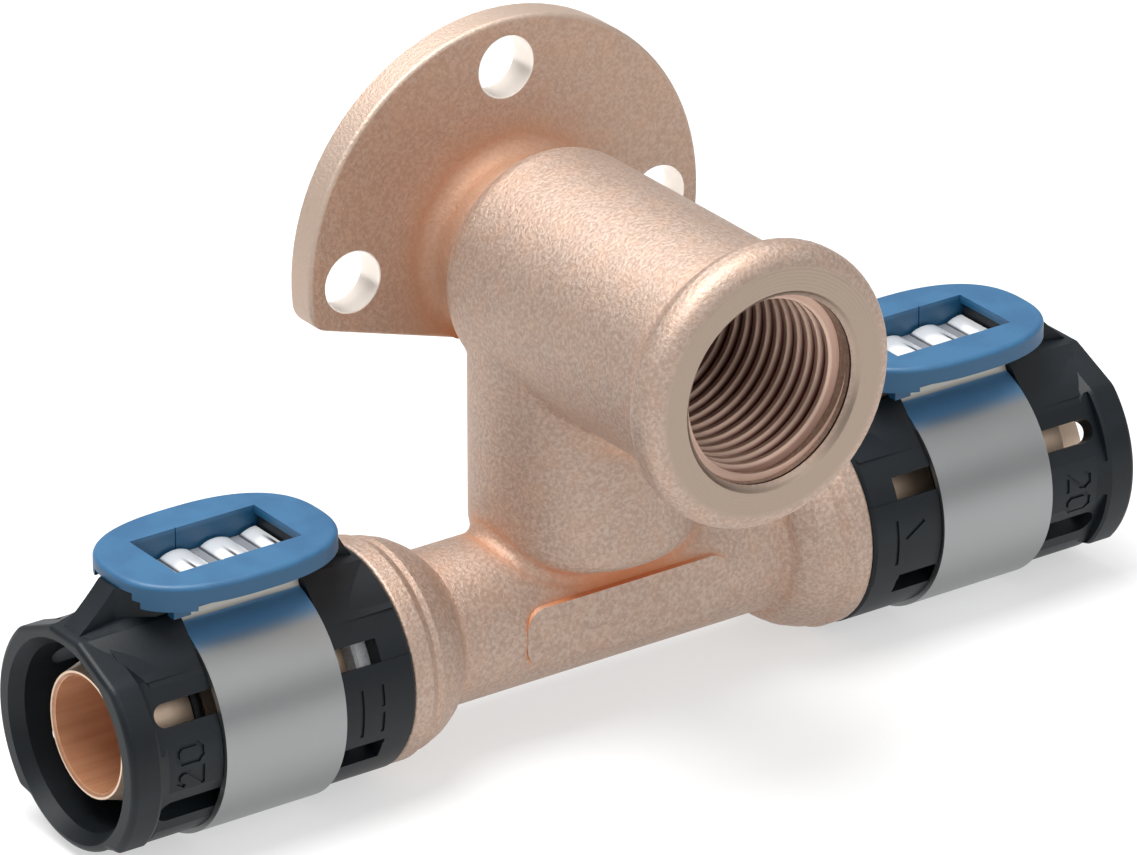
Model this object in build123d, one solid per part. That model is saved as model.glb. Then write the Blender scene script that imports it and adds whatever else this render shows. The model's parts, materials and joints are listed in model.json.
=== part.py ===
from build123d import *
import math
import os

os.makedirs("parts", exist_ok=True)

# All sizes are in mm. The wall face of the plate lies in Y = 0, the tap boss points along -Y,
# the run of pipe lies along X and +Z is up. The boss axis meets the wall face at the origin.

# Wall plate
plate_thickness = 3.5
plate_margin = 5.5
plate_foot_half = 5.0
plate_foot_drop = 10.6
plate_corner_drop = 4.45
plate_corner = 3.0
plate_edge = 0.5
fixing_radius = 20.0
fixing_hole_radius = 3.5

# Tap boss, with the major radius of a half inch parallel pipe thread
boss_length = 52.0
barrel_radius = 13.2
barrel_back = 9.2
neck_radius = 10.0
neck_cove = 2.0
lip_radius = 15.8
lip_length = 3.9
lip_flare = 2.1
thread_major_radius = 10.48
thread_length = 23.0
mouth_radius = 11.2
mouth_depth = 0.75
chamber_radius = 9.0
chamber_back = 10.0

# Stem and run
run_offset = 17.5
run_drop = 35.5
stem_radius = 12.3
stem_foot_drop = 29.6
stem_foot_rounding = 2.8
stem_bore_radius = 8.0
port_radius = 4.2
port_floor = 2.0
run_radius = 8.7
flow_radius = 6.4
pad_front = 26.25
pad_half_height = 3.4
pad_half_length = 13.2
pad_corner = 2.3
flange_face = 30.2
flange_radius = 12.5
flange_start = 21.4
flange_edge = 27.9
flange_shoulder = ((22.3, 10.1, 2.5), (24.2, 11.3, 3.0), (26.2, 12.0, 0.5), (27.0, 11.95, 0.4))

# Nipple for a 20 mm pipe
nipple_radius = 7.85
nipple_tip = 63.4
nipple_tip_radius = 7.0
nipple_taper = 3.0
nipple_rim_radius = 6.75
nipple_rim_depth = 0.25
hub_radius = 8.9
hub_end = 32.6
snap_groove_start = 30.9
snap_groove_end = 32.0
snap_groove_radius = 8.3
stop_ring_end = 35.6
seal_places = {"inner": 43.0, "outer": 54.0}
seal_cord = 1.2
seal_groove_width = 1.5
seal_groove_radius = 6.95
fit_clearance = 0.15

# Compression sleeve
sleeve_radius = 12.6
sleeve_bore = 10.35
recess_clearance = 0.05
nose_start = 62.7
nose_end = 66.0
nose_draft = 1.8
nose_radius = 12.1
nose_inner_radius = 11.3
nose_inner_depth = 1.5
nose_flat_top = 12.5
nose_flat_half = 2.65
lobe_rise = 0.15
lobe_first = 43.8
lobe_last = 134.0
slot_places = ((61.5, 2.6), (115.0, 3.0))
slot_start = 34.0
slot_end = 61.7
slot_flat_half = 4.0
slot_flat_sink = 0.38
mark_pad_rise = 0.15
mark_pad_turns = (67.5, 111.0)
mark_lines = ((2.3, -102, 2.3, -79), (4.9, -88, 4.9, -79), (4.9, -102, 4.9, -93))
mark_lines += ((6.1, 78, 6.1, 100), (2.6, 81, 4.8, 87))
digit_gap = 2.6
shoulder_top = 14.3
hump_top = 16.8
hump_half_width = 4.2
ramp_half_width = 1.5
pad_top = 17.2
pad_start = 8.0
pad_end = 11.6
ramp_start = 13.6

# Steel band
band_start = 39.4
band_end = 54.4
band_radius = 13.15
band_thickness = 0.75
band_gap = 0.1
ear_half_width = 4.2
ear_blend = 0.7
cap_half_length = 7.7
cap_overhang = 0.15
ear_top = 15.3
bead_pitch = 5.05
bead_count = 4
bead_half_width = 2.2
bead_height = 0.65

# Press indicator
indicator_top = 18.2
indicator_half_length = 13.2
indicator_half_width = 9.5
indicator_skin = 0.95
indicator_wall = 1.4
window_half_length = 7.8
window_half_width = 4.55
indicator_foot = 16.05
heel_foot = 15.3
frame_foot = 14.35
leg_foot = 13.7
leg_end = 9.1
notch_half_width = 3.6
notch_clearance = 0.05

plate_radius = fixing_radius + plate_margin
band_middle = (band_start + band_end) / 2
band_inner = band_radius - band_thickness
recess_radius = band_inner - recess_clearance
lobe_radius = band_radius + lobe_rise
mark_radius = sleeve_radius + mark_pad_rise


# A closed outline from corners given as (x, y, rounding)
def outline(corners):
    face = make_face(Polyline([(x, y) for x, y, rounding in corners], close=True))
    for x, y, rounding in corners:
        if rounding:
            corner = face.vertices().sort_by_distance((x, y, 0))[0]
            face = fillet(corner, rounding)
    return face


# A turned body about X from corners given as (position along X, radius, rounding)
def turned(corners, arc=360):
    return revolve(outline(corners), Axis.X, revolution_arc=arc)


def along_y(body):
    return Rot(0, 0, 90) * body


def along_z(body):
    return Rot(0, -90, 0) * body


def rod(radius, start, end):
    return turned([(start, 0, 0), (end, 0, 0), (end, radius, 0), (start, radius, 0)])


def ring(inner, outer, start, end):
    return turned([(start, inner, 0), (end, inner, 0), (end, outer, 0), (start, outer, 0)])


def block(x0, x1, y0, y1, z0, z1):
    size = Box(abs(x1 - x0), abs(y1 - y0), abs(z1 - z0))
    return Pos((x0 + x1) / 2, (y0 + y1) / 2, (z0 + z1) / 2) * size


# Outline of the plate: a round top, rounded lower corners and a foot that narrows to the stem
def plate_outline():
    corner_z = -plate_corner_drop
    corner_x = math.sqrt(plate_radius ** 2 - corner_z ** 2)
    top = ThreePointArc((corner_x, corner_z), (0, plate_radius), (-corner_x, corner_z))
    foot = Polyline(
        (-corner_x, corner_z),
        (-plate_foot_half, -plate_foot_drop),
        (plate_foot_half, -plate_foot_drop),
        (corner_x, corner_z),
    )
    face = make_face(top + foot)
    for side in (-1, 1):
        corner = face.vertices().sort_by_distance((side * corner_x, corner_z, 0))[0]
        face = fillet(corner, plate_corner)
    return Plane.XZ * face


def wall_plate():
    plate = extrude(plate_outline(), plate_thickness)
    plate = fillet(plate.faces().sort_by(Axis.Y)[0].edges(), plate_edge)
    for x, z in ((-fixing_radius, 0), (0, fixing_radius), (fixing_radius, 0)):
        hole = Pos(x, 0, z) * along_y(rod(fixing_hole_radius, -plate_thickness - 1, 1))
        plate -= hole
    return plate


# Neck that flares into the plate, kept inside the outline of the plate
def neck():
    inside = -plate_thickness / 2
    rim = neck_radius + neck_cove + 0.1
    flare = along_y(turned([
        (inside, 0, 0),
        (inside, rim, 0),
        (-plate_thickness, rim, 0),
        (-plate_thickness, neck_radius, neck_cove),
        (-barrel_back - 1.0, neck_radius, 0),
        (-barrel_back - 1.0, 0, 0),
    ]))
    return flare & extrude(plate_outline(), barrel_back + 2)


# Barrel and mouth lip in one turned body
def boss():
    front = -boss_length
    lip_back = front + lip_length
    return along_y(turned([
        (-barrel_back, 0, 0),
        (-barrel_back, barrel_radius, 3.0),
        (lip_back + lip_flare, barrel_radius, 2.0),
        (lip_back, lip_radius, 1.6),
        (front, lip_radius, 2.3),
        (front, 0, 0),
    ]))


def stem():
    return Pos(0, -run_offset, 0) * along_z(turned([
        (0, 0, 0),
        (-stem_foot_drop, 0, 0),
        (-stem_foot_drop, stem_radius, stem_foot_rounding),
        (0, stem_radius, 0),
    ]))


# Web that ties the top of the stem to the foot of the plate
def web():
    back = -plate_thickness / 2
    return block(-plate_foot_half, plate_foot_half, back, -run_offset, -plate_foot_drop, 0)


# Run tube with a rounded flange at each end
def run_tube():
    corners = [(0, 0, 0), (0, run_radius, 0), (flange_start, run_radius, 0.8)]
    corners += flange_shoulder
    corners += [(flange_edge, flange_radius, 0.4), (flange_face, flange_radius, 0.35)]
    corners += [(flange_face, 0, 0)]
    half = turned(corners)
    return half + Rot(0, 0, 180) * half


def flat_pad():
    pad = block(
        -pad_half_length, pad_half_length, -pad_front + run_offset, 0,
        -pad_half_height, pad_half_height,
    )
    upright = pad.edges().filter_by(Axis.Y)
    return fillet(upright, pad_corner)


# Nipple with its hub, seal grooves and chamfered tip
def nipple():
    corners = [(flange_face - 2, 0, 0), (flange_face - 2, hub_radius, 0)]
    corners += [(snap_groove_start, hub_radius, 0), (snap_groove_start, snap_groove_radius, 0)]
    corners += [(snap_groove_end, snap_groove_radius, 0), (snap_groove_end, hub_radius, 0)]
    corners += [(hub_end, hub_radius, 0), (hub_end, nipple_radius, 0)]
    for place in seal_places.values():
        near, far = place - seal_groove_width / 2, place + seal_groove_width / 2
        corners += [(near, nipple_radius, 0), (near, seal_groove_radius, 0)]
        corners += [(far, seal_groove_radius, 0), (far, nipple_radius, 0)]
    corners += [(nipple_tip - nipple_taper, nipple_radius, 0), (nipple_tip, nipple_tip_radius, 0)]
    corners += [(nipple_tip, 0, 0)]
    return turned(corners)


def waterways():
    front = -boss_length
    thread_end = front + mouth_depth + thread_length
    mouth = along_y(turned([
        (front - 1, 0, 0),
        (front - 1, mouth_radius, 0),
        (front, mouth_radius, 0),
        (front + mouth_depth, thread_major_radius, 0),
        (thread_end, thread_major_radius, 0),
        (thread_end + 1.5, chamber_radius, 0),
        (-chamber_back, chamber_radius, 3.0),
        (-chamber_back, 0, 0),
    ]))
    floor = -stem_foot_drop + port_floor
    riser = Pos(0, -run_offset, 0) * along_z(turned([
        (-run_drop, 0, 0),
        (-run_drop, port_radius, 0),
        (floor, port_radius, 0),
        (floor + stem_bore_radius - port_radius, stem_bore_radius, 0),
        (0, stem_bore_radius, 0),
        (0, 0, 0),
    ]))
    flow = rod(flow_radius, -nipple_tip - 1, nipple_tip + 1)
    flare = turned([
        (nipple_tip + 1, 0, 0),
        (nipple_tip + 1, nipple_rim_radius, 0),
        (nipple_tip, nipple_rim_radius, 0),
        (nipple_tip - nipple_rim_depth, flow_radius, 0),
        (nipple_tip - nipple_rim_depth, 0, 0),
    ])
    flow += flare + Rot(0, 0, 180) * flare
    return mouth + riser + Pos(0, -run_offset, -run_drop) * flow


# The casting: barrel on stem on run, with the inside corners rounded as cast
def cast_body():
    at_run = Pos(0, -run_offset, -run_drop)
    body = boss() + stem()
    crease = [edge for edge in body.edges() if edge.geom_type == GeomType.BSPLINE]
    body = fillet(crease, 2.0)
    body += at_run * run_tube()
    foot = []
    for edge in body.edges():
        box = edge.bounding_box()
        low = box.min.Z > -stem_foot_drop - 0.4 and box.max.Z < -run_drop + run_radius + 0.4
        if low and abs(edge.center().X) < stem_radius and edge.geom_type != GeomType.CIRCLE:
            foot.append(edge)
    body = fillet(foot, 1.2)
    body += at_run * flat_pad()
    body += neck() + web()
    body += wall_plate()
    body += at_run * nipple()
    body += at_run * Rot(0, 0, 180) * nipple()
    return body - waterways()


# Turns a piece made at the top of the sleeve to an angle measured from +Z towards -Y
def at_angle(degrees, body):
    return Rot(degrees, 0, 0) * body


# A piece of ring between two such angles
def sector(corners, first, last):
    return at_angle(90 + first, turned(corners, last - first))


# A prism along X from half a section given as (distance from the middle, height) points
def ridge(start, end, half_start, half_end):
    sections = []
    for x, half in ((start, half_start), (end, half_end)):
        points = [(x, side, up) for side, up in half]
        points += [(x, -side, up) for side, up in reversed(half)]
        sections.append(make_face(Polyline(points, close=True)))
    return loft(sections, ruled=True)


# Section of the nose: round below, a lobe on each side and flats that meet under the ramp
def nose_outline():
    def at(radius, degrees):
        turn = math.radians(degrees)
        return radius * math.sin(turn), radius * math.cos(turn)

    crown = (nose_flat_half, nose_flat_top)
    first, middle = at(lobe_radius, lobe_first), at(lobe_radius, 90)
    last, foot = at(lobe_radius, lobe_last), at(nose_radius, lobe_last + 8)
    face = make_face(
        Line((0, nose_flat_top), crown) + Line(crown, first) + ThreePointArc(first, middle, last)
        + Line(last, foot) + ThreePointArc(foot, at(nose_radius, 165), (0, -nose_radius))
        + Line((0, -nose_radius), (0, nose_flat_top))
    )
    for corner, rounding in ((crown, 0.8), (first, 2.5), (last, 1.2), (foot, 1.2)):
        vertex = face.vertices().sort_by_distance((corner[0], corner[1], 0))[0]
        face = fillet(vertex, rounding)
    return face + mirror(face, about=Plane.YZ)


def across(x):
    return Plane((x, 0, 0), x_dir=(0, 1, 0), z_dir=(1, 0, 0))


# The lobes end in a draft that runs out in the round of the sleeve
def nose():
    section = nose_outline()
    body = extrude(across(nose_start) * section, nose_end - nose_start)
    body = fillet(body.faces().sort_by(Axis.X)[-1].edges(), 0.7)
    small = scale(section, (sleeve_radius - 0.1) / lobe_radius)
    draft = loft([across(nose_start - nose_draft) * small, across(nose_start) * section], ruled=True)
    return body + draft


# Shoulder and hump on the top of the sleeve, falling away to the end of the socket. The way is 1
# towards the nose and -1 towards the flange, and the end is where the ramp comes down.
def top_of_sleeve(way, end):
    def place(distance):
        return band_middle + way * distance

    near = band_end if way > 0 else band_start
    wide = [(8.8, 9.0), (4.6, shoulder_top - 0.7), (2.9, shoulder_top)]
    narrow = [(8.9, 9.2), (2.8, nose_flat_top - 0.15), (ramp_half_width, nose_flat_top - 0.1)]
    shoulder = ridge(near, end, wide, narrow)
    foot = end - way * 0.2
    low = sleeve_bore - 0.4
    side_view = make_face(
        Polyline(
            (foot, nose_flat_top - 0.1),
            (foot, low),
            (place(pad_start), low),
            (place(pad_start), pad_top),
            (place(pad_end), pad_top),
            (place(pad_end), hump_top),
            (place(ramp_start), hump_top),
        )
        + ThreePointArc(
            (place(ramp_start), hump_top),
            ((place(ramp_start) + foot) / 2 - way * 0.3, (hump_top + nose_flat_top) / 2 + 0.05),
            (foot, nose_flat_top - 0.1),
        )
    )
    plan = []
    for side in (1, -1):
        half = [
            (place(pad_start - 0.5), side * hump_half_width),
            (place(pad_start + 2.0), side * (hump_half_width - 0.4)),
            (place(ramp_start), side * ramp_half_width),
            (foot + way, side * ramp_half_width),
        ]
        plan += half if side > 0 else list(reversed(half))
    hump = extrude(make_face(Polyline(plan, close=True)), pad_top + 1)
    hump = hump & extrude(Plane.XZ * side_view, 10, both=True)
    return shoulder + hump - rod(sleeve_bore + 0.6, flange_face - 1, nose_end + 1)


def slots():
    cuts = None
    for angle, width in slot_places:
        straight = slot_end - width / 2
        cut = block(slot_start, straight, -width / 2, width / 2, sleeve_bore - 0.8, lobe_radius + 1)
        cut += Pos(straight, 0, sleeve_bore + 1.2) * Cylinder(width / 2, 4.0)
        flat = block(
            band_end - 1, slot_end + 0.6, -slot_flat_half, slot_flat_half,
            sleeve_radius - slot_flat_sink, lobe_radius + 1,
        )
        for turn in (angle, -angle):
            piece = at_angle(turn, cut + flat)
            cuts = piece if cuts is None else cuts + piece
    return cuts


# A stroke sunk into the sleeve, along points given as (x, degrees)
def stroke(points, radius, width=0.42, depth=0.22):
    pieces = []
    for (x0, a0), (x1, a1) in zip(points, points[1:]):
        steps = max(1, round(abs(a1 - a0) / 8))
        for i in range(steps):
            x, a = x0 + (x1 - x0) * (i + 0.5) / steps, a0 + (a1 - a0) * (i + 0.5) / steps
            across = math.radians(a1 - a0) / steps * radius
            along = (x1 - x0) / steps
            length = math.hypot(along, across) + width
            bar = Pos(0, 0, radius - depth + 0.5) * Box(length, width, 1.0)
            bar = Rot(0, 0, -math.degrees(math.atan2(across, along))) * bar
            pieces.append(at_angle(a, Pos(x, 0, 0) * bar))
    return pieces


# Digits as strokes: height along X, width around the sleeve
def digits(x, degrees, radius, height=3.0):
    two = [(2.4, 0.1), (3.0, 0.5), (3.0, 1.3), (2.4, 1.7), (1.8, 1.6), (0.0, 0.0), (0.0, 1.8)]
    nought = [(0.5, 0.0), (2.5, 0.0), (3.0, 0.5), (3.0, 1.3), (2.5, 1.8)]
    nought += [(0.5, 1.8), (0.0, 1.3), (0.0, 0.5), (0.5, 0.0)]
    pieces = []
    for shape, shift in ((two, 0.0), (nought, 2.7)):
        points = []
        for up, right in shape:
            turn = math.degrees((right + shift) / radius)
            points.append((x + up * height / 3, degrees + turn))
        pieces += stroke(points, radius)
    return pieces


# The mouth of the sleeve, which guides the pipe in
def mouth():
    inside = nose_start - nose_draft - 1
    return turned([
        (inside, 0, 0),
        (inside, sleeve_bore, 0),
        (nose_end - nose_inner_depth, sleeve_bore, 0),
        (nose_end, nose_inner_radius, 0),
        (nose_end + 1, nose_inner_radius, 0),
        (nose_end + 1, 0, 0),
    ])


def compression_sleeve():
    body = turned([
        (flange_face, hub_radius + fit_clearance, 0),
        (snap_groove_start + 0.1, hub_radius + fit_clearance, 0),
        (snap_groove_start + 0.1, snap_groove_radius + fit_clearance, 0),
        (snap_groove_end - 0.1, snap_groove_radius + fit_clearance, 0),
        (snap_groove_end - 0.1, hub_radius + fit_clearance, 0),
        (hub_end, hub_radius + fit_clearance, 0),
        (hub_end, sleeve_bore, 0),
        (nose_start + 0.4, sleeve_bore, 0),
        (nose_start + 0.4, sleeve_radius, 0),
        (flange_face + 0.35, sleeve_radius, 0),
        (flange_face, sleeve_radius - 0.35, 0),
    ])
    body += nose() - mouth()
    pad = [(flange_face, mark_radius - 0.6, 0), (band_start, mark_radius - 0.6, 0)]
    pad += [(band_start, mark_radius, 0), (flange_face + 0.35, mark_radius, 0)]
    pad += [(flange_face, mark_radius - 0.35, 0)]
    first, last = mark_pad_turns
    body += sector(pad, first, last) + sector(pad, -last, -first)
    body += top_of_sleeve(1, nose_end - 0.8)
    body += top_of_sleeve(-1, flange_face + 0.4)
    body -= ring(recess_radius, pad_top + 1, band_start - band_gap, band_end + band_gap)
    body -= slots()
    marks = []
    for x0, start, x1, end in mark_lines:
        marks += stroke([(band_start - x0, start), (band_start - x1, end)], mark_radius)
    for degrees in (-99, 82):
        marks += digits(band_end + digit_gap, degrees, sleeve_radius)
    for mark in marks:
        body -= mark
    return body


# Band with an upright ear, closed by a cap with pressed beads across it
def steel_band():
    face = Circle(band_radius) + Pos(0, ear_top / 2) * Rectangle(2 * ear_half_width, ear_top)
    corners = []
    for vertex in face.vertices():
        on_band = abs(math.hypot(vertex.X, vertex.Y) - band_radius) < 0.01
        if on_band and vertex.Y > ear_half_width:
            corners.append(vertex)
    face = fillet(corners, ear_blend)
    hollow_width = 2 * (ear_half_width - band_thickness)
    hollow_top = ear_top - band_thickness
    hollow = Circle(band_inner) + Pos(0, hollow_top / 2) * Rectangle(hollow_width, hollow_top)
    section = face - hollow
    body = extrude(across(band_start) * section, band_end - band_start)
    reach = ear_half_width + cap_overhang
    ends = (band_middle - cap_half_length, band_middle + cap_half_length)
    body += block(*ends, -reach, reach, ear_top - band_thickness, ear_top)
    limit = block(*ends, -reach, reach, ear_top - band_thickness, ear_top + bead_height + 1)
    for i in range(bead_count):
        x = band_middle + bead_pitch * (i - (bead_count - 1) / 2)
        arc = ThreePointArc((-bead_half_width, -0.1), (0, bead_height), (bead_half_width, -0.1))
        bead = extrude(Plane.XZ * make_face(arc + Line(arc @ 1, arc @ 0)), reach - 0.2, both=True)
        body += (Pos(x, 0, ear_top) * bead) & limit
    return body


def oval(half_length, half_width, power, count=48):
    points = []
    for i in range(count):
        t = 2 * math.pi * i / count
        c, s = math.cos(t), math.sin(t)
        points.append((
            math.copysign(abs(c) ** (2 / power), c) * half_length,
            math.copysign(abs(s) ** (2 / power), s) * half_width,
        ))
    return make_face(Spline(*points, periodic=True))


# Oval ring with a window over the beads. It is hollow below over the pads of the hump, notched
# at both ends for its crest, and has a leg at two opposite corners beside the band.
def press_indicator():
    rise = indicator_top - indicator_foot
    inner = window_half_width
    outer = inner + indicator_wall
    body = extrude(oval(indicator_half_length, indicator_half_width, 2.5), rise)
    body = fillet(body.faces().sort_by(Axis.Z)[-1].edges(), 0.6)
    beside = window_half_length - 0.3
    past = indicator_half_length + 1
    skirt = Pos(0, 0, heel_foot - indicator_foot) * extrude(
        oval(indicator_half_length, indicator_half_width, 2.5), rise
    )
    for side in (-1, 1):
        body += block(-beside, beside, side * inner, side * outer, frame_foot - indicator_foot, 0.5)
        body += block(
            side * (beside - 0.5), side * leg_end, side * (inner + 0.2), side * outer,
            leg_foot - indicator_foot, 0.5,
        )
        body += skirt & block(side * (beside + 0.15), side * past, side * inner, side * past, -2, 0.5)
    pocket_end = indicator_half_length - indicator_wall
    body -= block(-pocket_end, pocket_end, -inner, inner, -1, rise - indicator_skin)
    body -= block(-window_half_length, window_half_length, -inner, inner, -1, rise + 1)
    notch = notch_half_width
    body -= block(-past, past, -notch, notch, -1, hump_top + notch_clearance - indicator_foot)
    for side in (-1, 1):
        body -= block(2.0, 2.15, side * inner, side * (inner + 0.15), -3, rise + 1)
    return Pos(band_middle, 0, indicator_foot) * body


def seal(place):
    middle = seal_groove_radius + seal_cord / 2 + 0.02
    return Pos(place, 0, 0) * Rot(0, 90, 0) * Torus(middle, seal_cord / 2)


def insulating_ring():
    return turned([
        (hub_end, nipple_radius + 0.05, 0),
        (stop_ring_end, nipple_radius + 0.05, 0),
        (stop_ring_end, sleeve_bore - fit_clearance - 0.3, 0),
        (stop_ring_end - 0.3, sleeve_bore - fit_clearance, 0),
        (hub_end, sleeve_bore - fit_clearance, 0),
    ])


socket = {
    "compression_sleeve": compression_sleeve(),
    "steel_band": steel_band(),
    "press_indicator": press_indicator(),
    "insulating_ring": insulating_ring(),
}
for name, place in seal_places.items():
    socket["nipple_seal_" + name] = seal(place)

export_step(cast_body(), "parts/cast_body.step")
at_run = Pos(0, -run_offset, -run_drop)
for side, turn in (("left", 180), ("right", 0)):
    for name, piece in socket.items():
        export_step(at_run * Rot(0, 0, turn) * piece, "parts/" + side + "_" + name + ".step")
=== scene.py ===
import json
import math

import bpy
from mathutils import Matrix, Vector


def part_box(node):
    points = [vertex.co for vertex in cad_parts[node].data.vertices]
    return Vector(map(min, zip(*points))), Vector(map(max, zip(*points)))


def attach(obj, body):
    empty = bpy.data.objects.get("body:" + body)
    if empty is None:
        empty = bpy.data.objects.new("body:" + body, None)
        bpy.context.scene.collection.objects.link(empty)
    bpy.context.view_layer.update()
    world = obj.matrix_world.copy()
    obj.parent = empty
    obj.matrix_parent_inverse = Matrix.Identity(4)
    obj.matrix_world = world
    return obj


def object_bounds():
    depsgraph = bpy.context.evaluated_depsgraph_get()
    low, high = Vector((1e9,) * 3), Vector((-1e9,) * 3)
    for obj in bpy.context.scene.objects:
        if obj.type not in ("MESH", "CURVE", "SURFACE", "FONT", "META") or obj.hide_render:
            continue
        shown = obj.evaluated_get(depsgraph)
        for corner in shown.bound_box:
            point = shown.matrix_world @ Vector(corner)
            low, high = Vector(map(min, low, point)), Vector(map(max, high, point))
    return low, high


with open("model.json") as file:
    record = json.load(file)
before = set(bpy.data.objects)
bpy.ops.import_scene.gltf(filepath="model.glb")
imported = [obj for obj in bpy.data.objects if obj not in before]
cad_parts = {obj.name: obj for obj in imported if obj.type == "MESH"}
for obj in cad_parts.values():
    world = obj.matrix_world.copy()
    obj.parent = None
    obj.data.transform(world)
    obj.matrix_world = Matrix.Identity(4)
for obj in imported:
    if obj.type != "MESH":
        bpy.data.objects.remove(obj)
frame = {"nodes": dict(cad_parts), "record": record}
cadLow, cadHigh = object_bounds()
mounts = {mount["name"]: mount for mount in frame["record"]["mounts"]}
print("frame loaded with", len(frame["nodes"]), "nodes")

# Finishes are drawn in millimetres, on places that the frame gives
mm = 1000.0  # millimetres in a metre
mouthFace = cadLow.y * mm
plateRadius = cadHigh.z * mm
axisY, axisZ = [place * mm for place in mounts["right_nipple"]["pos_m"][1:]]


# One output of a node. Sums on it add Math nodes, so shader maths reads as plain expressions.
class Wire:
    def __init__(self, bench, socket):
        self.bench = bench
        self.socket = socket

    def __add__(self, other):
        return self.bench.calc("ADD", self, other)

    def __radd__(self, other):
        return self.bench.calc("ADD", other, self)

    def __sub__(self, other):
        return self.bench.calc("SUBTRACT", self, other)

    def __rsub__(self, other):
        return self.bench.calc("SUBTRACT", other, self)

    def __mul__(self, other):
        return self.bench.calc("MULTIPLY", self, other)

    def __rmul__(self, other):
        return self.bench.calc("MULTIPLY", other, self)

    def __truediv__(self, other):
        return self.bench.calc("DIVIDE", self, other)

    def __rtruediv__(self, other):
        return self.bench.calc("DIVIDE", other, self)


# Builds the nodes of one tree, for a finish, the world or a geometry tree
class Bench:
    def __init__(self, tree):
        self.tree = tree

    # settings are set first, then the values or links of the sockets
    def node(self, kind, settings=None, inputs=None, output=0):
        made = self.tree.nodes.new(kind)
        for key, value in (settings or {}).items():
            setattr(made, key, value)
        for key, value in (inputs or {}).items():
            if isinstance(value, Wire):
                self.tree.links.new(value.socket, made.inputs[key])
            else:
                made.inputs[key].default_value = value
        return Wire(self, made.outputs[output]) if made.outputs else None

    def calc(self, operation, *values):
        return self.node("ShaderNodeMath", {"operation": operation}, dict(enumerate(values)))

    def highest(self, first, *others):
        for other in others:
            first = self.calc("MAXIMUM", first, other)
        return first

    # 0 below the low value and 1 above the high one, with a soft step between
    def rise(self, value, low, high):
        return self.node(
            "ShaderNodeMapRange",
            {"interpolation_type": "SMOOTHSTEP"},
            {"Value": value, "From Min": low, "From Max": high},
        )

    # the same step downwards
    def fall(self, value, low, high):
        return 1 - self.rise(value, low, high)

    def mix(self, mask, under, over):
        return self.node("ShaderNodeMix", {"data_type": "RGBA"}, {0: mask, 6: under, 7: over}, 2)

    # each layer is a mask and the colour that it lays over the ones before
    def layered(self, colour, *layers):
        for mask, over in layers:
            colour = self.mix(mask, colour, over)
        return colour


# A colour written as it shows, 0 to 255
def tone(red, green, blue):
    linear = []
    for level in (red, green, blue):
        share = level / 255
        linear.append(share / 12.92 if share <= 0.04045 else ((share + 0.055) / 1.055) ** 2.4)
    return (*linear, 1.0)


# A finish with its patterns in millimetres on the piece
class Finish(Bench):
    def __init__(self, name):
        self.material = bpy.data.materials.new(name)
        self.material.use_nodes = True
        super().__init__(self.material.node_tree)
        self.tree.nodes.clear()
        spot = self.node("ShaderNodeTexCoord", output="Object")
        self.place = self.node(
            "ShaderNodeVectorMath", {"operation": "SCALE"}, {0: spot, "Scale": mm}
        )
        self.x, self.y, self.z = [
            self.node("ShaderNodeSeparateXYZ", inputs={0: self.place}, output=axis)
            for axis in ("X", "Y", "Z")
        ]

    # soft speckle with spots of the given size
    def speckle(self, size, detail=2.0, roughness=0.5, stretch=(1, 1, 1)):
        spread = self.node(
            "ShaderNodeMapping", inputs={"Vector": self.place, "Scale": [1 / times for times in stretch]}
        )
        return self.node(
            "ShaderNodeTexNoise",
            inputs={"Vector": spread, "Scale": 1 / size, "Detail": detail, "Roughness": roughness},
        )

    def distance(self, first, second):
        return self.calc("SQRT", first * first + second * second)

    # even waves from 0 to 1, given in radians a millimetre
    def waves(self, value, rate):
        return self.calc("SINE", value * rate) * 0.5 + 0.5

    # depth in millimetres
    def relief(self, height, depth, under=None):
        inputs = {"Height": height, "Distance": depth / mm}
        if under:
            inputs["Normal"] = under
        return self.node("ShaderNodeBump", inputs=inputs)

    # 1 on open ground, lower in the creases of the same piece within a reach in millimetres
    def openness(self, reach):
        settings = {"samples": 8, "only_local": True}
        return self.node("ShaderNodeAmbientOcclusion", settings, {"Distance": reach / mm}, "AO")

    def surface(self, **inputs):
        named = {key.replace("_", " "): value for key, value in inputs.items()}
        skin = self.node("ShaderNodeBsdfPrincipled", inputs=named)
        self.node("ShaderNodeOutputMaterial", inputs={"Surface": skin})
        return self.material


def dress(material, *names):
    for name in names:
        for slot in frame["nodes"][name].material_slots:
            slot.material = material


# Camera at the photograph's own angle
view = {
    "azimuth": -35.25,
    "elevation": 25.0,
    "distance": 0.95,
    "aim": (0.01018, -0.00063, -0.02629),
    "lens": 273.9,
    "sensor": 36.0,
    "nearest": 0.01,
    "farthest": 50.0,
}


def makeCamera():
    turn, lift = math.radians(view["azimuth"]), math.radians(view["elevation"])
    back = Vector((math.sin(turn) * math.cos(lift), -math.cos(turn) * math.cos(lift), math.sin(lift)))
    data = bpy.data.cameras.new("camera")
    data.lens = view["lens"]
    data.sensor_width = view["sensor"]
    data.clip_start = view["nearest"]
    data.clip_end = view["farthest"]
    camera = bpy.data.objects.new("camera", data)
    bpy.context.scene.collection.objects.link(camera)
    camera.location = Vector(view["aim"]) + back * view["distance"]
    camera.rotation_mode = "QUATERNION"
    camera.rotation_quaternion = (-back).to_track_quat("-Z", "Y")
    bpy.context.scene.camera = camera


makeCamera()
print("camera in place")

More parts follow.
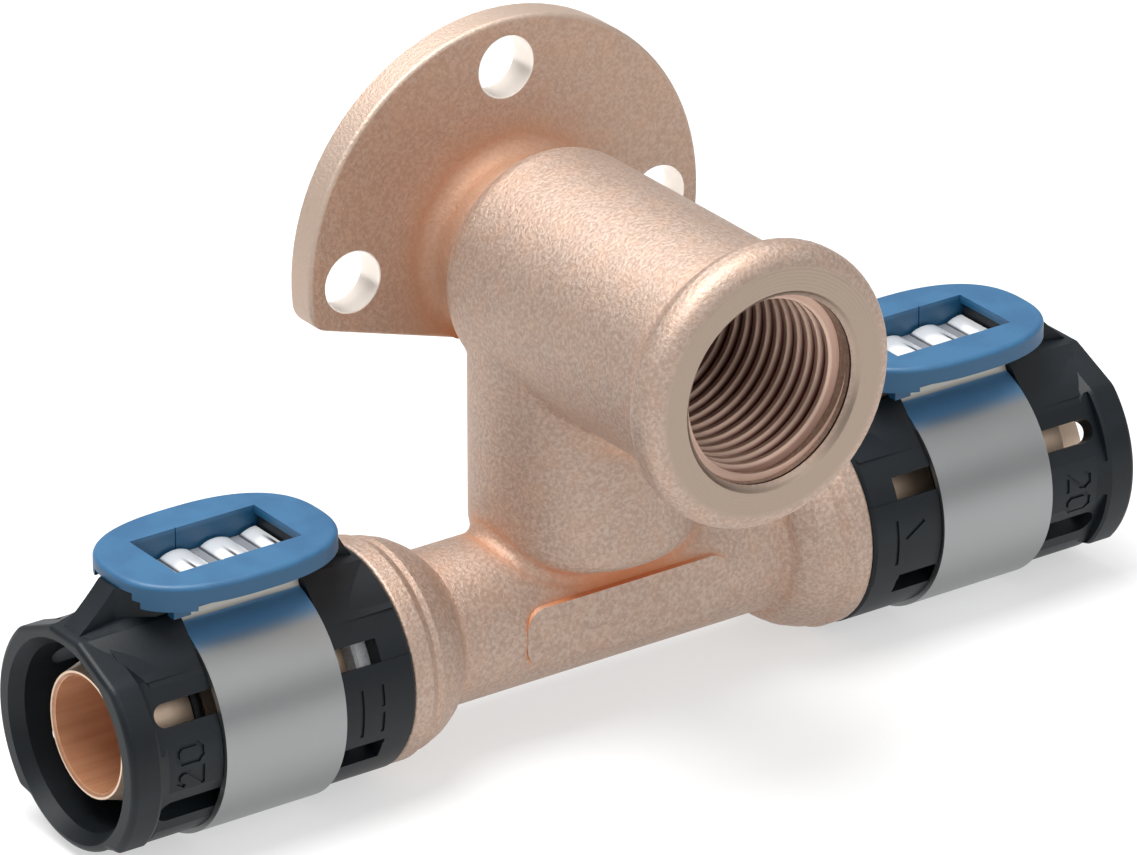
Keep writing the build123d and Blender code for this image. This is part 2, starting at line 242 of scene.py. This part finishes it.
# Cast body: sand-cast skin, turned lip face and thread, bored waterways.
# A pair is where the soft edge of a zone begins and ends: a length in millimetres, a level of the
# noise where the name says split, or how open the ground is.
bronze = {
    "skin": tone(176, 154, 140),
    "skinPale": tone(198, 179, 166),
    # warm tone: the casting's own random patches, and painted warm bounce light in hollows and towards
    # the plate
    "skinWarm": tone(210, 168, 137),
    # painted warm bounce light along tight corners
    "crease": tone(216, 150, 106),
    # painted light: the plate's rim made paler, as where light falls on it
    "rim": tone(200, 182, 168),
    "turned": tone(162, 145, 131),
    # turned nipple, its tone lifted as painted light where it sits in shade inside the sleeve's windows
    "nipple": tone(226, 200, 176),
    # painted shade: the dark line round the mouth's edge and the darker step at the run's tip
    "edge": tone(70, 46, 38),
    # pale drilled metal of the fixing holes, brightened further as a painted reflection of the white
    # surroundings
    "cut": tone(244, 234, 224),
    # red-brown of the thread's wall, darkened as painted shade between the ridges
    "thread": tone(146, 66, 54),
    # copper tone of the waterway with drawn streaks, made lighter as painted light inside the bore
    "bore": tone(208, 156, 120),
    "boreDark": tone(196, 142, 108),
    # cast grain, warm patches and the drawn streaks of the waterway
    "grain": 0.42,
    "grainDetail": 3.0,
    "grainRoughness": 0.65,
    "grainSplit": (0.34, 0.68),
    "grainDepth": 0.1,
    "fineGrain": 0.12,
    "fineDepth": 0.012,
    "patch": 2.6,
    "patchSplit": (0.4, 0.7),
    "patchShare": 0.15,
    "streak": 0.9,
    "streakLength": 14,
    "streakSplit": (0.3, 0.7),
    "toolRate": 16.0,
    "toolHeight": 0.1,
    # creases, by how open the ground is within each reach; warm bounce light is painted into them
    "hollowReach": 9.0,
    "hollow": (0.3, 0.85),
    "cornerReach": 4.0,
    "corner": (0.5, 0.94),
    # behind the face of the mouth
    "lipFace": (0.25, 0.9),
    "edgeStart": (0.7, 0.8),
    "edgeEnd": (0.95, 1.1),
    "threadStart": (2.8, 3.8),
    # away from the axis of the tap, the thread's wall and the plate's rim
    "lipReach": (13.4, 14.6),
    "tapWall": (0.07, 0.27),
    "plateRim": (-0.6, -0.2),
    "rimShare": 0.7,
    # away from the axis of the run, and along it
    "runWall": (6.7, 6.78),
    "tipStep": (6.42, 6.5),
    "tipShare": 0.4,
    "runMouth": (24.0, 30.0),
    "pastFlange": (0.05, 0.1),
    # places along y and z
    "tapEnd": (-12.0, -11.0),
    "plateFront": (-6.0, -5.6),
    "plateFoot": (-16.0, -15.0),
    # towards the plate, where a share of painted warm bounce light grows
    "towardsWall": (-16.0, -3.0),
    "wallShare": 0.25,
    # outside the radius of a fixing hole, and along it
    "holeWall": (0.05, 0.15),
    "holeStart": (-5.0, -4.5),
    # roughness, and what each zone adds to it
    "rough": 0.6,
    "roughTurned": 0.4,
    "roughCut": 0.2,
    "roughGrain": 0.1,
    "roughSheltered": 0.3,
    "roughRun": -0.2,
    # how far each zone falls short of bare metal
    "dullThread": 0.45,
    "dullCut": 0.5,
    "dullSheltered": 0.5,
    "dullNipple": 0.4,
    "leastMetal": 0.2,
}


# 1 on the walls of the three fixing holes
def holeWalls(finish):
    lower, top = mounts["plate_holes_lower"], mounts["plate_hole_top"]
    across = lower["dims"]["spacing_x_mm"] / 2
    up = top["pos_m"][2] * mm
    walls = 0.0
    for x, z in ((-across, 0.0), (0.0, up), (across, 0.0)):
        outside = finish.distance(finish.x - x, finish.z - z) - top["dims"]["r_mm"]
        wall = finish.fall(outside, *bronze["holeWall"])
        walls = walls + wall * finish.rise(finish.y, *bronze["holeStart"])
    return walls


# The machined and sheltered zones of the casting, and the plate's rim, mouth edge and tip step where
# light or shade is painted, each a mask from 0 to 1
def bronzeZones(finish, fromTap):
    # the sleeve is seated on the face of the flange
    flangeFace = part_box("right_compression_sleeve")[0][0] * mm
    fromMouth = finish.y - mouthFace
    fromRun = finish.distance(finish.y - axisY, finish.z - axisZ)
    along = finish.calc("ABSOLUTE", finish.x)
    tapWall = finish.fall(fromTap - mounts["tap_thread"]["dims"]["r_mm"], *bronze["tapWall"])
    tapWall = tapWall * finish.fall(finish.y, *bronze["tapEnd"])
    mouthEdge = tapWall * finish.rise(fromMouth, *bronze["edgeStart"])
    onPlate = finish.rise(finish.y, *bronze["plateFront"])
    onPlate = onPlate * finish.rise(finish.z, *bronze["plateFoot"])
    run = finish.fall(fromRun, *bronze["runWall"]) * finish.rise(along, *bronze["runMouth"])
    zones = {
        "lip": finish.fall(fromMouth, *bronze["lipFace"]) * finish.fall(fromTap, *bronze["lipReach"]),
        "mouthEdge": mouthEdge * finish.fall(fromMouth, *bronze["edgeEnd"]),
        "thread": tapWall * finish.rise(fromMouth, *bronze["threadStart"]),
        "rim": onPlate * finish.rise(fromTap - plateRadius, *bronze["plateRim"]),
        "nipple": finish.rise(along - flangeFace, *bronze["pastFlange"]),
        "run": run,
        "tipStep": finish.rise(fromRun, *bronze["tipStep"]) * run,
        "holes": holeWalls(finish),
    }
    zones["turned"] = finish.highest(zones["lip"], zones["thread"], zones["nipple"], zones["holes"])
    return zones


def bronzeColour(finish, zones, grain, hollow):
    patches = finish.speckle(bronze["patch"])
    streaks = finish.speckle(bronze["streak"], stretch=(bronze["streakLength"], 1, 1))
    corner = finish.openness(bronze["cornerReach"])
    copper = finish.mix(
        finish.rise(streaks, *bronze["streakSplit"]), bronze["boreDark"], bronze["bore"]
    )
    return finish.layered(
        bronze["skin"],
        (finish.rise(grain, *bronze["grainSplit"]), bronze["skinPale"]),
        (bronze["patchShare"] * finish.rise(patches, *bronze["patchSplit"]), bronze["skinWarm"]),
        # painted warm bounce light, stronger where the ground is less open
        (finish.fall(hollow, *bronze["hollow"]), bronze["skinWarm"]),
        # painted warm bounce light in tight corners of the same piece
        (finish.fall(corner, *bronze["corner"]), bronze["crease"]),
        # painted warm bounce light, growing towards the wall plate
        (bronze["wallShare"] * finish.rise(finish.y, *bronze["towardsWall"]), bronze["skinWarm"]),
        # painted light on the plate's rim
        (bronze["rimShare"] * zones["rim"], bronze["rim"]),
        (zones["turned"], bronze["turned"]),
        # turned nipple, lifted with painted light
        (zones["nipple"], bronze["nipple"]),
        # drilled hole walls, with a painted pale reflection
        (zones["holes"], bronze["cut"]),
        # thread wall, red-brown with painted shade
        (zones["thread"], bronze["thread"]),
        # painted shade along the edge of the mouth
        (zones["mouthEdge"], bronze["edge"]),
        # waterway copper, lifted with painted light
        (zones["run"], copper),
        # painted shade on the step at the run's tip
        (bronze["tipShare"] * zones["tipStep"], bronze["edge"]),
    )


def bronzeFinish():
    finish = Finish("castBronze")
    fromTap = finish.distance(finish.x, finish.z)
    zones = bronzeZones(finish, fromTap)
    grain = finish.speckle(bronze["grain"], bronze["grainDetail"], bronze["grainRoughness"])
    hollow = finish.openness(bronze["hollowReach"])
    asCast = 1 - zones["turned"]
    sheltered = (1 - hollow) * asCast

    marks = finish.waves(fromTap, bronze["toolRate"])
    height = grain * asCast + marks * zones["lip"] * bronze["toolHeight"]
    coarse = finish.relief(height, bronze["grainDepth"])
    fine = finish.relief(finish.speckle(bronze["fineGrain"]), bronze["fineDepth"], under=coarse)
    rough = bronze["rough"] + bronze["roughGrain"] * (grain - 0.5)
    rough = rough - zones["turned"] * (bronze["rough"] - bronze["roughTurned"])
    rough = rough + bronze["roughSheltered"] * sheltered
    rough = rough - zones["holes"] * (bronze["roughTurned"] - bronze["roughCut"])
    metal = 1 - bronze["dullThread"] * zones["thread"]
    metal = metal - bronze["dullCut"] * (zones["run"] + zones["holes"])
    metal = metal - bronze["dullSheltered"] * sheltered - bronze["dullNipple"] * zones["nipple"]
    return finish.surface(
        Base_Color=bronzeColour(finish, zones, grain, hollow),
        Metallic=finish.highest(metal, bronze["leastMetal"]),
        Roughness=rough + bronze["roughRun"] * zones["run"],
        Normal=fine,
    )


# Thread of the tap boss, a right-hand helix with rounded crests
thread = {
    "pitch": 1.814,
    "crestDepth": 1.16,
    "sunk": 0.03,
    "rootWidth": 1.62,
    "crestWidth": 0.55,
    "rounding": 0.12,
    "roundingPoints": 3,
    "startIn": 0.9,
    "pointsPerTurn": 128,
    "fade": 0.035,
    "countersink": 0.75,
    "crestTone": tone(208, 178, 160),
    # red-brown of the thread, darkened in the roots as painted shade
    "rootTone": tone(108, 38, 28),
    "crest": (9.5, 10.1),  # away from the axis
    "entry": (2.4, 4.4),  # behind the face of the mouth
    "entryShare": 0.8,
    "lineRate": 45.0,
    "lineDepth": 0.01,
    "worn": 0.5,
    "rough": 0.36,
    "roughWorn": 0.1,
    "metal": 0.6,
}


def threadFinish():
    finish = Finish("turnedThread")
    fromTap = finish.distance(finish.x, finish.z)
    entry = finish.fall(finish.y - mouthFace, *thread["entry"])
    crest = finish.highest(finish.fall(fromTap, *thread["crest"]), thread["entryShare"] * entry)
    return finish.surface(
        Base_Color=finish.mix(crest, thread["rootTone"], thread["crestTone"]),
        Metallic=thread["metal"],
        Roughness=thread["rough"] + thread["roughWorn"] * finish.speckle(thread["worn"]),
        Normal=finish.relief(finish.waves(fromTap, thread["lineRate"]), thread["lineDepth"]),
    )


# A ridge swept along a helix, with one named input for each size
def threadTree(material, labels):
    tree = bpy.data.node_groups.new("threadTree", "GeometryNodeTree")
    tree.interface.new_socket("Geometry", in_out="OUTPUT", socket_type="NodeSocketGeometry")
    for label in labels:
        tree.interface.new_socket(label, in_out="INPUT", socket_type="NodeSocketFloat")
    bench = Bench(tree)
    given = tree.nodes.new("NodeGroupInput")

    def size(label):
        return Wire(bench, given.outputs[label])

    helix = bench.node(
        "GeometryNodeCurveSpiral",
        inputs={
            "Resolution": thread["pointsPerTurn"],
            "Rotations": size("Turns"),
            "Start Radius": size("Root Radius"),
            "End Radius": size("Root Radius"),
            "Height": size("Length"),
            "Reverse": True,
        },
    )
    upright = bench.node("GeometryNodeSetCurveNormal", {"mode": "Z_UP"}, {"Curve": helix})
    spot = bench.node("GeometryNodeSplineParameter", output="Factor")
    # the ridge grows from nothing at one end and runs out at the other
    swell = bench.calc("MINIMUM", spot / size("Fade"), (1 - spot) / size("Fade"))
    swell = bench.calc("MINIMUM", swell, 1.0)
    section = bench.node(
        "GeometryNodeCurvePrimitiveQuadrilateral",
        {"mode": "TRAPEZOID"},
        {
            "Height": size("Depth"),
            "Bottom Width": size("Root Width"),
            "Top Width": size("Crest Width"),
            "Offset": 0.0,
        },
    )
    eased = bench.node(
        "GeometryNodeFilletCurve",
        {"mode": "POLY"},
        {
            "Curve": section,
            "Count": thread["roundingPoints"],
            "Radius": size("Rounding"),
            "Limit Radius": True,
        },
    )
    half = size("Depth") / 2
    shift = bench.node("ShaderNodeCombineXYZ", inputs={"X": 0.0, "Y": half, "Z": 0.0})
    seated = bench.node("GeometryNodeTransform", inputs={"Geometry": eased, "Translation": shift})
    inwards = bench.node(
        "GeometryNodeTransform",
        inputs={"Geometry": seated, "Rotation": (0.0, 0.0, math.radians(90))},
    )
    swept = bench.node(
        "GeometryNodeCurveToMesh",
        inputs={"Curve": upright, "Profile Curve": inwards, "Scale": swell, "Fill Caps": True},
    )
    real = bench.node("GeometryNodeRealizeInstances", inputs={"Geometry": swept})
    dressed = bench.node("GeometryNodeSetMaterial", inputs={"Geometry": real, "Material": material})
    result = tree.nodes.new("NodeGroupOutput")
    tree.links.new(dressed.socket, result.inputs["Geometry"])
    return tree


# The tree's result as a plain mesh, with its sizes given by name
def grow(name, tree, sizes):
    piece = bpy.data.objects.new(name, bpy.data.meshes.new(name))
    bpy.context.scene.collection.objects.link(piece)
    modifier = piece.modifiers.new(name, "NODES")
    modifier.node_group = tree
    for item in tree.interface.items_tree:
        if item.in_out == "INPUT":
            modifier[item.identifier] = sizes[item.name]
    evaluated = piece.evaluated_get(bpy.context.evaluated_depsgraph_get())
    mesh = bpy.data.meshes.new_from_object(evaluated)
    piece.modifiers.clear()
    piece.data = mesh
    return piece


def makeThread():
    dims = mounts["tap_thread"]["dims"]
    length = dims["length_mm"] - thread["startIn"]
    sizes = {
        "Root Radius": dims["r_mm"] + thread["sunk"],
        "Length": length,
        "Turns": length / thread["pitch"],
        "Depth": thread["crestDepth"] + thread["sunk"],
        "Root Width": thread["rootWidth"],
        "Crest Width": thread["crestWidth"],
        "Rounding": thread["rounding"],
        "Fade": thread["fade"],
    }
    piece = grow("tap_thread_ridges", threadTree(threadFinish(), sizes), sizes)
    # the helix stands on z in millimetres, and is laid along the boss in metres
    start = cadLow.y + (thread["startIn"] + thread["countersink"]) / mm
    for corner in piece.data.vertices:
        x, y, z = corner.co / mm
        corner.co = (x, start + z, -y)
    for face in piece.data.polygons:
        face.use_smooth = True
    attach(piece, "root")
    return piece


dress(bronzeFinish(), "cast_body")
ridges = makeThread()
print("cast body finished, thread has", len(ridges.data.polygons), "faces")

# Moulded sleeves in black plastic
plastic = {
    "black": tone(12, 18, 23),
    "blackPale": tone(20, 27, 32),
    "grain": 0.22,
    "grainDetail": 3.0,
    "grainRoughness": 0.55,
    "grainDepth": 0.012,
    "flow": 6.0,
    "flowLength": 3,
    "flowSplit": (0.4, 0.7),
    "rough": 0.46,
    "roughFlow": 0.12,
    "roughGrain": 0.06,
    "shine": 0.27,
}


def sleeveFinish():
    finish = Finish("blackSleeve")
    mould = finish.speckle(plastic["grain"], plastic["grainDetail"], plastic["grainRoughness"])
    flow = finish.speckle(plastic["flow"], stretch=(plastic["flowLength"], 1, 1))
    split = finish.rise(flow, *plastic["flowSplit"])
    rough = plastic["rough"] + plastic["roughFlow"] * (flow - 0.5)
    return finish.surface(
        Base_Color=finish.mix(split, plastic["black"], plastic["blackPale"]),
        Roughness=rough + plastic["roughGrain"] * (mould - 0.5),
        Specular_IOR_Level=plastic["shine"],
        Normal=finish.relief(mould, plastic["grainDepth"]),
    )


# Stainless steel bands, brushed round the pipe, with pressed beads painted white as a highlight.
# The heights are above the axis of the run.
steel = {
    "sheet": tone(154, 156, 156),
    "sheetDark": tone(142, 144, 145),
    # painted dark line: a reflection beside each bead's crest, and shade in the crease at the beads'
    # foot
    "beadSlit": tone(92, 94, 98),
    # painted highlight: the pressed beads made white
    "bead": tone(250, 251, 252),
    # painted light: the pressed cap, shaded in the ring's recess, made lighter than the band
    "crease": tone(176, 178, 182),
    # painted reflection of the blue indicator ring on the band just below it, laid over the real
    # reflection
    "underRing": tone(78, 134, 178),
    # painted highlight: a pale strip along the band just below the indicator ring
    "shoulder": tone(192, 188, 178),
    "hairRate": 9.0,
    "hairDetail": 5.0,
    "hairRoughness": 0.7,
    "hairSplit": (0.35, 0.7),
    "hairShare": 0.6,
    "hairDepth": 0.006,
    "cloud": 5.0,
    "ringHeight": (10.0, 11.3),
    "shoulderHeight": (12.35, 12.5),
    "tintShare": 0.9,
    "capHeight": (15.0, 15.2),
    # the crease at the foot of the beads, where shade is painted
    "footLineStart": (15.31, 15.33),
    "footLineEnd": (15.4, 15.5),
    "beadHeight": (15.4, 15.6),
    "beadPitch": 5.05,
    "slitFromCrest": 0.4,
    "slitHalf": 0.24,
    "slitReach": (0.0, 2.5),  # across the cap, behind the axis of the run
    "rough": 0.4,
    "roughHair": 0.1,
    "roughCloud": 0.05,
    "roughCap": -0.2,
    "dullTint": 0.6,
    "dullCap": 0.4,
}


def bandFinish():
    finish = Finish("steelBand")
    height = finish.z - axisZ
    hair = finish.node(
        "ShaderNodeTexNoise",
        {"noise_dimensions": "1D"},
        {
            "W": finish.x * steel["hairRate"],
            "Detail": steel["hairDetail"],
            "Roughness": steel["hairRoughness"],
        },
    )
    cloud = finish.speckle(steel["cloud"])
    onCap = finish.rise(height, *steel["capHeight"])
    bead = finish.rise(height, *steel["beadHeight"])
    footLine = finish.rise(height, *steel["footLineStart"])
    footLine = footLine * finish.fall(height, *steel["footLineEnd"])
    shoulder = finish.rise(height, *steel["shoulderHeight"]) * (1 - onCap)
    underRing = finish.rise(height, *steel["ringHeight"]) * (1 - onCap) * (1 - shoulder)

    # a painted dark reflection runs beside the crest of each bead
    low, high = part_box("right_steel_band")
    middle = (low[0] + high[0]) / 2 * mm
    halfPitch = steel["beadPitch"] / 2
    step = finish.calc("ABSOLUTE", finish.x) - middle - steel["slitFromCrest"]
    step = finish.calc("PINGPONG", step - halfPitch, halfPitch)
    slit = finish.fall(step, steel["slitHalf"] / 2, steel["slitHalf"]) * bead
    slit = slit * finish.fall(finish.y - axisY, *steel["slitReach"])

    colour = finish.layered(
        steel["sheet"],
        (steel["hairShare"] * finish.rise(hair, *steel["hairSplit"]), steel["sheetDark"]),
        # painted reflection of the blue ring
        (steel["tintShare"] * underRing, steel["underRing"]),
        # painted highlight below the indicator ring
        (steel["tintShare"] * shoulder, steel["shoulder"]),
        # painted light on the pressed cap
        (onCap, steel["crease"]),
        # painted white highlight on the beads
        (bead, steel["bead"]),
        # painted shade at the beads' foot and painted dark reflections beside their crests
        (finish.highest(footLine, slit), steel["beadSlit"]),
    )
    rough = steel["rough"] + steel["roughHair"] * (hair - 0.5)
    rough = rough + steel["roughCloud"] * (cloud - 0.5) + steel["roughCap"] * onCap
    return finish.surface(
        Base_Color=colour,
        Metallic=1 - steel["dullTint"] * (underRing + shoulder) - steel["dullCap"] * onCap,
        Roughness=rough,
        Normal=finish.relief(hair * (1 - onCap), steel["hairDepth"]),
    )


# Blue indicator rings, softly textured plastic
blue = {
    "face": tone(43, 94, 131),
    "faceDeep": tone(36, 85, 122),
    # painted shade: the ring's sides below its top made darker
    "side": tone(14, 72, 106),
    "sideTop": (-0.7, -0.2),  # below the top of the ring
    "grain": 0.3,
    "grainDetail": 3.0,
    "grainDepth": 0.01,
    "flow": 4.0,
    "flowSplit": (0.35, 0.7),
    "rough": 0.45,
    "roughFlow": 0.1,
}


def indicatorFinish():
    finish = Finish("blueIndicator")
    mould = finish.speckle(blue["grain"], blue["grainDetail"])
    flow = finish.speckle(blue["flow"])
    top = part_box("right_press_indicator")[1][2] * mm
    colour = finish.layered(
        blue["face"],
        (finish.rise(flow, *blue["flowSplit"]), blue["faceDeep"]),
        # painted shade on the sides, below the top of the ring
        (finish.fall(finish.z - top, *blue["sideTop"]), blue["side"]),
    )
    return finish.surface(
        Base_Color=colour,
        Roughness=blue["rough"] + blue["roughFlow"] * (flow - 0.5),
        Normal=finish.relief(mould, blue["grainDepth"]),
    )


# Rubber seals and grey stop rings, seen only through the mouths and windows
rubber = {
    "name": "sealRubber",
    "ground": tone(34, 34, 36),
    "spots": tone(52, 52, 54),
    "grain": 0.5,
    "grainDetail": 3.0,
    "grainRoughness": 0.6,
    "grainSplit": (0.45, 0.75),
    "grainDepth": 0.01,
    "rough": 0.55,
    "roughGrain": 0.15,
}
grey = {
    "name": "greyRing",
    # the ring's light grey, lifted further as painted light where the ring sits in shade in the windows
    "ground": tone(226, 228, 230),
    "spots": tone(208, 210, 213),
    "grain": 0.4,
    "grainDetail": 2.0,
    "grainRoughness": 0.5,
    "grainSplit": (0.4, 0.7),
    "grainDepth": 0.01,
    "rough": 0.45,
    "roughGrain": 0.1,
}


def innerFinish(inner):
    finish = Finish(inner["name"])
    grain = finish.speckle(inner["grain"], inner["grainDetail"], inner["grainRoughness"])
    split = finish.rise(grain, *inner["grainSplit"])
    return finish.surface(
        Base_Color=finish.mix(split, inner["ground"], inner["spots"]),
        Roughness=inner["rough"] + inner["roughGrain"] * (grain - 0.5),
        Normal=finish.relief(grain, inner["grainDepth"]),
    )


finishes = {
    "compression_sleeve": sleeveFinish(),
    "steel_band": bandFinish(),
    "press_indicator": indicatorFinish(),
    "nipple_seal_inner": innerFinish(rubber),
    "insulating_ring": innerFinish(grey),
}
finishes["nipple_seal_outer"] = finishes["nipple_seal_inner"]
for part, material in finishes.items():
    dress(material, "left_" + part, "right_" + part)
print("sockets finished")

# Pale floor under the sockets, and soft studio light
studio = {
    "floor": tone(240, 240, 240),
    "floorHalf": 20.0,
    "floorShare": 0.55,
    "white": (1.0, 1.0, 1.0, 1.0),
    "above": (1.0, 1.0, 1.0, 1.0),
    "level": (0.31, 0.31, 0.32, 1.0),
    "brighter": (-0.1, 0.7),  # height of the heading, from level to above
    "strength": 0.75,
}
lamps = {
    "topLamp": {"spot": (-0.18, 0.08, 0.78), "size": 0.65, "power": 10.0},
    "frontLamp": {"spot": (0.15, -0.75, 0.5), "size": 0.6, "power": 1.2},
}


def floorFinish():
    finish = Finish("paleFloor")
    rays = [
        finish.node("ShaderNodeLightPath", output=ray)
        for ray in ("Is Camera Ray", "Is Glossy Ray", "Is Transmission Ray")
    ]
    matte = finish.node("ShaderNodeBsdfDiffuse", inputs={"Color": studio["floor"]})
    white = finish.node(
        "ShaderNodeEmission", inputs={"Color": studio["white"], "Strength": 1.0}
    )
    mixed = finish.node(
        "ShaderNodeMixShader",
        inputs={0: finish.highest(*rays) * studio["floorShare"], 1: matte, 2: white},
    )
    finish.node("ShaderNodeOutputMaterial", inputs={"Surface": mixed})
    return finish.material


def makeFloor():
    half = studio["floorHalf"]
    level = cadLow.z
    mesh = bpy.data.meshes.new("floor")
    corners = [(-half, -half, level), (half, -half, level), (half, half, level), (-half, half, level)]
    mesh.from_pydata(corners, [], [(0, 1, 2, 3)])
    mesh.materials.append(floorFinish())
    floor = bpy.data.objects.new("floor", mesh)
    bpy.context.scene.collection.objects.link(floor)


def makeWorld():
    world = bpy.data.worlds.new("studio")
    world.use_nodes = True
    world.node_tree.nodes.clear()
    sky = Bench(world.node_tree)
    heading = sky.node("ShaderNodeTexCoord", output="Generated")
    height = sky.node("ShaderNodeSeparateXYZ", inputs={0: heading}, output="Z")
    brighter = sky.rise(height, *studio["brighter"])
    colour = sky.mix(brighter, studio["level"], studio["above"])
    light = sky.node("ShaderNodeBackground", inputs={"Color": colour, "Strength": studio["strength"]})
    sky.node("ShaderNodeOutputWorld", inputs={"Surface": light})
    bpy.context.scene.world = world


def makeLamps():
    middle = (cadLow + cadHigh) / 2
    for name, lamp in lamps.items():
        data = bpy.data.lights.new(name, "AREA")
        data.shape = "DISK"
        data.size = lamp["size"]
        data.energy = lamp["power"]
        light = bpy.data.objects.new(name, data)
        bpy.context.scene.collection.objects.link(light)
        light.location = lamp["spot"]
        light.rotation_mode = "QUATERNION"
        light.rotation_quaternion = (middle - light.location).to_track_quat("-Z", "Y")
        light.visible_camera = False


makeFloor()
makeWorld()
makeLamps()
bpy.context.scene.view_settings.view_transform = "Standard"
print("studio in place")
